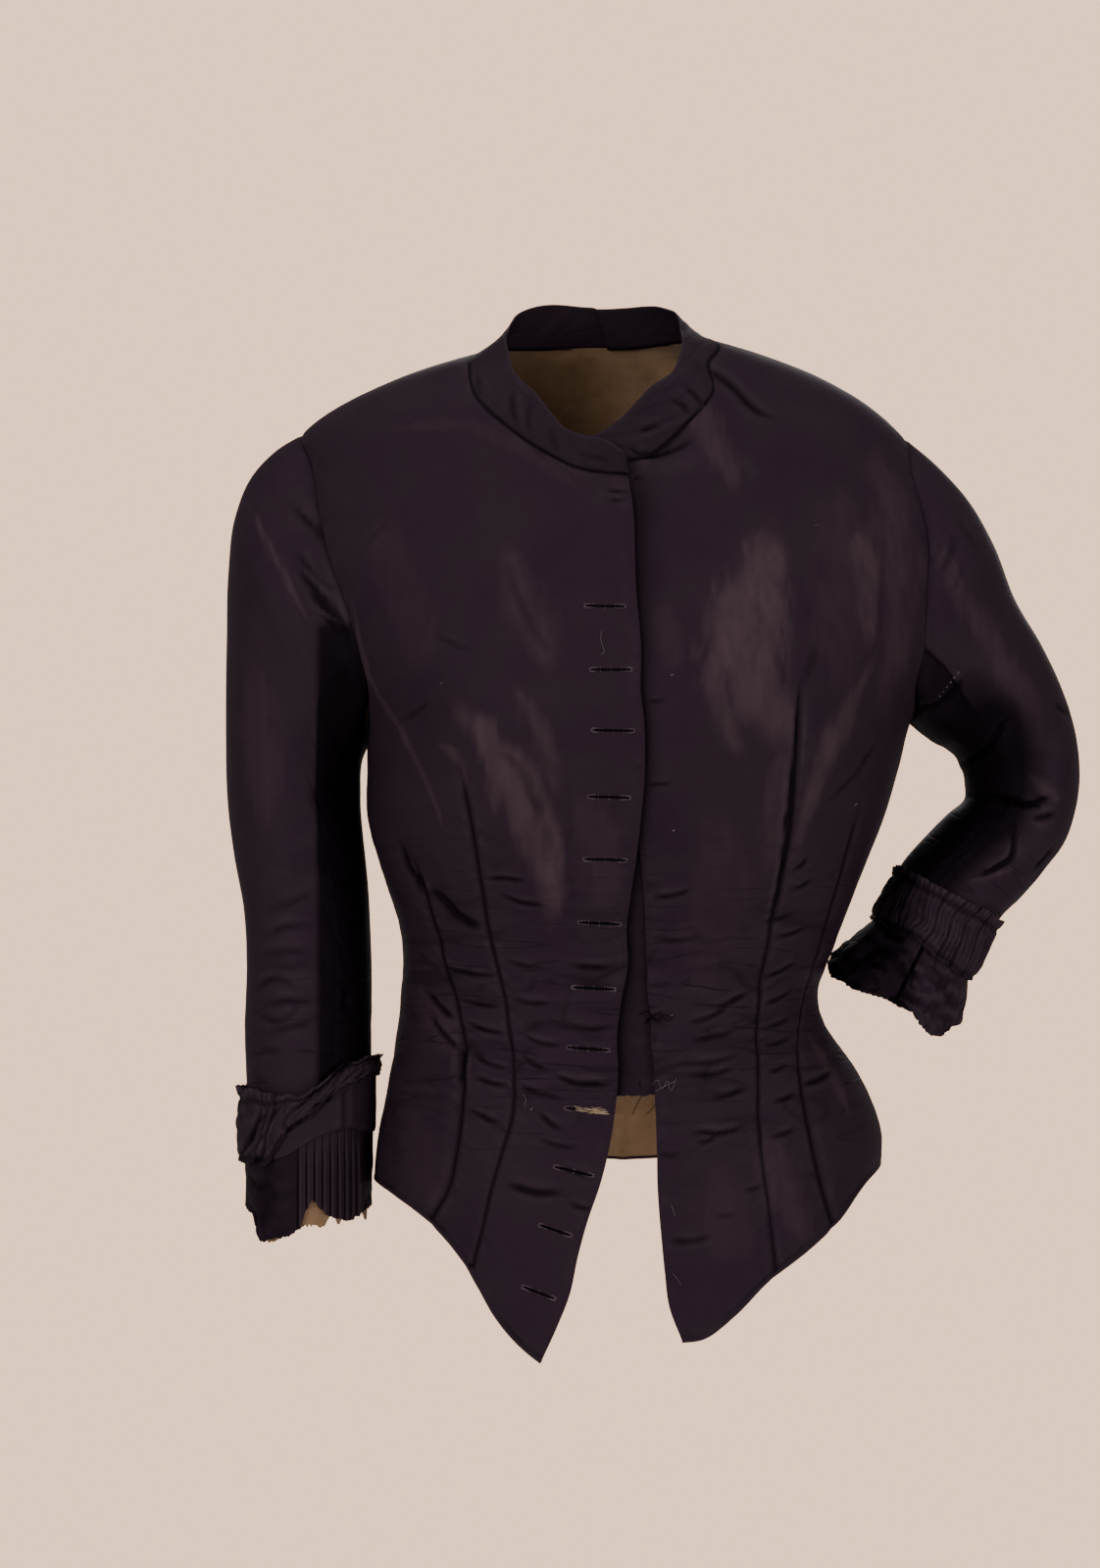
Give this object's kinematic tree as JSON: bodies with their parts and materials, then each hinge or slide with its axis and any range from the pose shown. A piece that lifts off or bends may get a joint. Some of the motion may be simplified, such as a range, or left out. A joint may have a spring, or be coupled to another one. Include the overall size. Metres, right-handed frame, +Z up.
{
  "type": "bustle jacket",
  "caption": "Fitted plum-black silk bodice, open in front below the waist, with a stand collar and two-piece sleeves that end in gathered and pleated cuffs.",
  "frame": {"origin": "middle of the neck at the height of the shoulder seams, where the wearer holds the jacket up", "axes": "+Z up, the wearer faces -Y, the wearer's left side is +X"},
  "size_m": [0.489, 0.2435, 0.5933],
  "materials": {
    "plum_silk": "ribbed silk with a soft sheen",
    "tan_lining": "matt cotton"
  },
  "bodies": {
    "root": {"front_right": "plum_silk", "front_left": "plum_silk", "side_back_right": "plum_silk", "side_back_left": "plum_silk", "back_right": "plum_silk", "back_left": "plum_silk", "collar": "plum_silk", "underlap": "plum_silk", "upper_sleeve_right": "plum_silk", "upper_sleeve_left": "plum_silk", "under_sleeve_right": "plum_silk", "under_sleeve_left": "plum_silk", "ruche_right": "plum_silk", "ruche_left": "plum_silk", "cuff_strap_right": "plum_silk", "flounce_right": "plum_silk", "flounce_left": "plum_silk", "cuff_lining_right": "tan_lining"}
  },
  "joints": []
}
